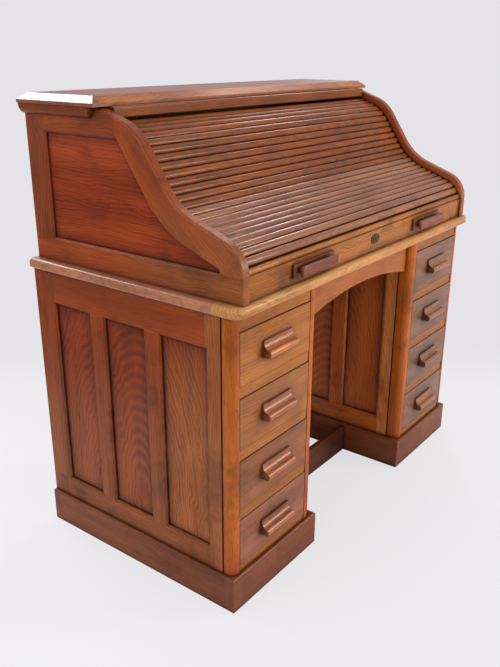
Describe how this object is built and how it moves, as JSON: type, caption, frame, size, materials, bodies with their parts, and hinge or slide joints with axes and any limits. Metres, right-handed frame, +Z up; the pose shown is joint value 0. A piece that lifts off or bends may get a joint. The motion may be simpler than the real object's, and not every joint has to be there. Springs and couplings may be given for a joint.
{
  "type": "roll top desk",
  "caption": "Knee-hole roll top desk of varnished oak: two pedestals of drawers under a moulded top, with an S-shaped roll of slats, lift rail and framed side panels.",
  "frame": {"origin": "on the floor under the middle of the desk's bounding box", "axes": "+Z up, +X to the right seen from the front, front faces -Y"},
  "size_m": [1.22, 0.685, 1.183],
  "materials": {
    "oak_side": "glossy varnished oak, red-brown",
    "oak_front": "glossy varnished oak, golden brown",
    "oak_roll": "glossy varnished oak, golden brown",
    "oak_top": "glossy varnished oak",
    "oak_inside": "plain oiled oak",
    "brass": "aged brass"
  },
  "bodies": {
    "desk": {"desk_top": "oak_top", "foot_rail": "oak_side", "kneehole_apron": "oak_front", "modesty_panel": "oak_inside", "roll_back": "oak_inside", "frieze_rail": "oak_front", "top_board": "oak_top", "top_cornice": "oak_side", "pigeonholes": "oak_inside", "left_plinth": "oak_side", "right_plinth": "oak_side", "left_front_posts": "oak_front", "right_front_posts": "oak_front", "left_side_frames": "oak_side", "right_side_frames": "oak_side", "left_side_panels": "oak_side", "right_side_panels": "oak_side", "left_drawer_frame": "oak_front", "right_drawer_frame": "oak_front", "left_pedestal_back": "oak_inside", "right_pedestal_back": "oak_inside", "left_end_frame": "oak_side", "right_end_frame": "oak_side", "left_end_panel": "oak_side", "right_end_panel": "oak_side"},
    "slat_01": {"slat_01": "oak_roll"},
    "slat_02": {"slat_02": "oak_roll"},
    "slat_03": {"slat_03": "oak_roll"},
    "slat_04": {"slat_04": "oak_roll"},
    "slat_05": {"slat_05": "oak_roll"},
    "slat_06": {"slat_06": "oak_roll"},
    "slat_07": {"slat_07": "oak_roll"},
    "slat_08": {"slat_08": "oak_roll"},
    "slat_09": {"slat_09": "oak_roll"},
    "slat_10": {"slat_10": "oak_roll"},
    "slat_11": {"slat_11": "oak_roll"},
    "slat_12": {"slat_12": "oak_roll"},
    "slat_13": {"slat_13": "oak_roll"},
    "slat_14": {"slat_14": "oak_roll"},
    "slat_15": {"slat_15": "oak_roll"},
    "slat_16": {"slat_16": "oak_roll"},
    "slat_17": {"slat_17": "oak_roll"},
    "slat_18": {"slat_18": "oak_roll"},
    "slat_19": {"slat_19": "oak_roll"},
    "slat_20": {"slat_20": "oak_roll"},
    "slat_21": {"slat_21": "oak_roll"},
    "slat_22": {"slat_22": "oak_roll"},
    "slat_23": {"slat_23": "oak_roll"},
    "lift_rail": {"lift_rail": "oak_roll", "lift_handles": "oak_roll", "roll_lock": "brass"},
    "left_drawer_1": {"left_drawer_1": "oak_front"},
    "left_drawer_2": {"left_drawer_2": "oak_front"},
    "left_drawer_3": {"left_drawer_3": "oak_front"},
    "left_drawer_4": {"left_drawer_4": "oak_front"},
    "right_drawer_1": {"right_drawer_1": "oak_front"},
    "right_drawer_2": {"right_drawer_2": "oak_front"},
    "right_drawer_3": {"right_drawer_3": "oak_front"},
    "right_drawer_4": {"right_drawer_4": "oak_front"}
  },
  "joints": [
    {"name": "roll_lift", "type": "hinge", "parent": "desk", "child": "lift_rail", "pos_m": [0, -0.224, 0.81382], "axis": [-1, 0, 0], "range_deg": [0, 69.03]},
    {"name": "slat_01_run", "type": "hinge", "parent": "desk", "child": "slat_01", "pos_m": [0, -0.1858, 0.75554], "axis": [-1, 0, 0], "range_deg": [0, 37.95]},
    {"name": "slat_02_run", "type": "hinge", "parent": "desk", "child": "slat_02", "pos_m": [0, -0.11631, 0.59687], "axis": [-1, 0, 0], "range_deg": [0, 17.8]},
    {"name": "slat_03_run", "type": "hinge", "parent": "desk", "child": "slat_03", "pos_m": [0, -0.84261, 2.57989], "axis": [-1, 0, 0], "range_deg": [-3.25, 0]},
    {"name": "slat_04_run", "type": "hinge", "parent": "desk", "child": "slat_04", "pos_m": [0, -0.43091, 1.49484], "axis": [-1, 0, 0], "range_deg": [-9.12, 0]},
    {"name": "slat_05_run", "type": "hinge", "parent": "desk", "child": "slat_05", "pos_m": [0, -0.33528, 1.2654], "axis": [-1, 0, 0], "range_deg": [-14.99, 0]},
    {"name": "slat_06_run", "type": "hinge", "parent": "desk", "child": "slat_06", "pos_m": [0, -0.2883, 1.16766], "axis": [-1, 0, 0], "range_deg": [-20.87, 0]},
    {"name": "slat_07_run", "type": "hinge", "parent": "desk", "child": "slat_07", "pos_m": [0, -0.25794, 1.11491], "axis": [-1, 0, 0], "range_deg": [-26.74, 0]},
    {"name": "slat_08_run", "type": "hinge", "parent": "desk", "child": "slat_08", "pos_m": [0, -0.24919, 1.10176], "axis": [-1, 0, 0], "range_deg": [-28.84, 0]},
    {"name": "slat_09_run", "type": "hinge", "parent": "desk", "child": "slat_09", "pos_m": [0, -0.2642, 1.11791], "axis": [-1, 0, 0], "range_deg": [-25.99, 0]},
    {"name": "slat_10_run", "type": "hinge", "parent": "desk", "child": "slat_10", "pos_m": [0, -0.31156, 1.16234], "axis": [-1, 0, 0], "range_deg": [-20.12, 0]},
    {"name": "slat_11_run", "type": "hinge", "parent": "desk", "child": "slat_11", "pos_m": [0, -0.40348, 1.23699], "axis": [-1, 0, 0], "range_deg": [-14.24, 0]},
    {"name": "slat_12_run", "type": "hinge", "parent": "desk", "child": "slat_12", "pos_m": [0, -0.63374, 1.40542], "axis": [-1, 0, 0], "range_deg": [-8.37, 0]},
    {"name": "slat_13_run", "type": "hinge", "parent": "desk", "child": "slat_13", "pos_m": [0, -2.05399, 2.38078], "axis": [-1, 0, 0], "range_deg": [-2.43, 0]},
    {"name": "slat_14_run", "type": "hinge", "parent": "desk", "child": "slat_14", "pos_m": [0, 0.3547, 0.75473], "axis": [-1, 0, 0], "range_deg": [0, 11.58]},
    {"name": "slat_15_run", "type": "hinge", "parent": "desk", "child": "slat_15", "pos_m": [0, 0.15487, 0.90253], "axis": [-1, 0, 0], "range_deg": [0, 23.04]},
    {"name": "slat_16_run", "type": "hinge", "parent": "desk", "child": "slat_16", "pos_m": [0, 0.092, 0.95747], "axis": [-1, 0, 0], "range_deg": [0, 34.5]},
    {"name": "slat_17_run", "type": "hinge", "parent": "desk", "child": "slat_17", "pos_m": [0, 0.08544, 0.96409], "axis": [-1, 0, 0], "range_deg": [0, 36.52]},
    {"name": "slat_18_run", "type": "hinge", "parent": "desk", "child": "slat_18", "pos_m": [0, 0.0882, 0.95947], "axis": [-1, 0, 0], "range_deg": [0, 35.33]},
    {"name": "slat_19_run", "type": "hinge", "parent": "desk", "child": "slat_19", "pos_m": [0, 0.12374, 0.88922], "axis": [-1, 0, 0], "range_deg": [0, 23.87]},
    {"name": "slat_20_run", "type": "hinge", "parent": "desk", "child": "slat_20", "pos_m": [0, 0.18764, 0.73341], "axis": [-1, 0, 0], "range_deg": [0, 14.08]},
    {"name": "slat_21_run", "type": "hinge", "parent": "desk", "child": "slat_21", "pos_m": [0, 0.27774, 0.47576], "axis": [-1, 0, 0], "range_deg": [0, 8.47]},
    {"name": "slat_22_run", "type": "hinge", "parent": "desk", "child": "slat_22", "pos_m": [0, 0.20226, 0.71641], "axis": [-1, 0, 0], "range_deg": [0, 13.41]},
    {"name": "slat_23_run", "type": "hinge", "parent": "desk", "child": "slat_23", "pos_m": [0, 0.16861, 0.84271], "axis": [-1, 0, 0], "range_deg": [0, 19.26]},
    {"name": "left_drawer_1_slide", "type": "slide", "parent": "desk", "child": "left_drawer_1", "axis": [0, -1, 0], "range_m": [0, 0.4]},
    {"name": "left_drawer_2_slide", "type": "slide", "parent": "desk", "child": "left_drawer_2", "axis": [0, -1, 0], "range_m": [0, 0.4]},
    {"name": "left_drawer_3_slide", "type": "slide", "parent": "desk", "child": "left_drawer_3", "axis": [0, -1, 0], "range_m": [0, 0.4]},
    {"name": "left_drawer_4_slide", "type": "slide", "parent": "desk", "child": "left_drawer_4", "axis": [0, -1, 0], "range_m": [0, 0.4]},
    {"name": "right_drawer_1_slide", "type": "slide", "parent": "desk", "child": "right_drawer_1", "axis": [0, -1, 0], "range_m": [0, 0.4]},
    {"name": "right_drawer_2_slide", "type": "slide", "parent": "desk", "child": "right_drawer_2", "axis": [0, -1, 0], "range_m": [0, 0.4]},
    {"name": "right_drawer_3_slide", "type": "slide", "parent": "desk", "child": "right_drawer_3", "axis": [0, -1, 0], "range_m": [0, 0.4]},
    {"name": "right_drawer_4_slide", "type": "slide", "parent": "desk", "child": "right_drawer_4", "axis": [0, -1, 0], "range_m": [0, 0.4]}
  ],
  "couplings": [
    {"joint": "slat_01_run", "follows": "roll_lift", "ratio": 0.54908},
    {"joint": "slat_02_run", "follows": "roll_lift", "ratio": 0.25715},
    {"joint": "slat_03_run", "follows": "roll_lift", "ratio": -0.046328},
    {"joint": "slat_04_run", "follows": "roll_lift", "ratio": -0.13141},
    {"joint": "slat_05_run", "follows": "roll_lift", "ratio": -0.2165},
    {"joint": "slat_06_run", "follows": "roll_lift", "ratio": -0.30158},
    {"joint": "slat_07_run", "follows": "roll_lift", "ratio": -0.38667},
    {"joint": "slat_08_run", "follows": "roll_lift", "ratio": -0.41709},
    {"joint": "slat_09_run", "follows": "roll_lift", "ratio": -0.3758},
    {"joint": "slat_10_run", "follows": "roll_lift", "ratio": -0.29071},
    {"joint": "slat_11_run", "follows": "roll_lift", "ratio": -0.20563},
    {"joint": "slat_12_run", "follows": "roll_lift", "ratio": -0.12054},
    {"joint": "slat_13_run", "follows": "roll_lift", "ratio": -0.034427},
    {"joint": "slat_14_run", "follows": "roll_lift", "ratio": 0.16703},
    {"joint": "slat_15_run", "follows": "roll_lift", "ratio": 0.33303},
    {"joint": "slat_16_run", "follows": "roll_lift", "ratio": 0.49903},
    {"joint": "slat_17_run", "follows": "roll_lift", "ratio": 0.52831},
    {"joint": "slat_18_run", "follows": "roll_lift", "ratio": 0.511},
    {"joint": "slat_19_run", "follows": "roll_lift", "ratio": 0.345},
    {"joint": "slat_20_run", "follows": "roll_lift", "ratio": 0.2033},
    {"joint": "slat_21_run", "follows": "roll_lift", "ratio": 0.12196},
    {"joint": "slat_22_run", "follows": "roll_lift", "ratio": 0.19362},
    {"joint": "slat_23_run", "follows": "roll_lift", "ratio": 0.27828}
  ]
}
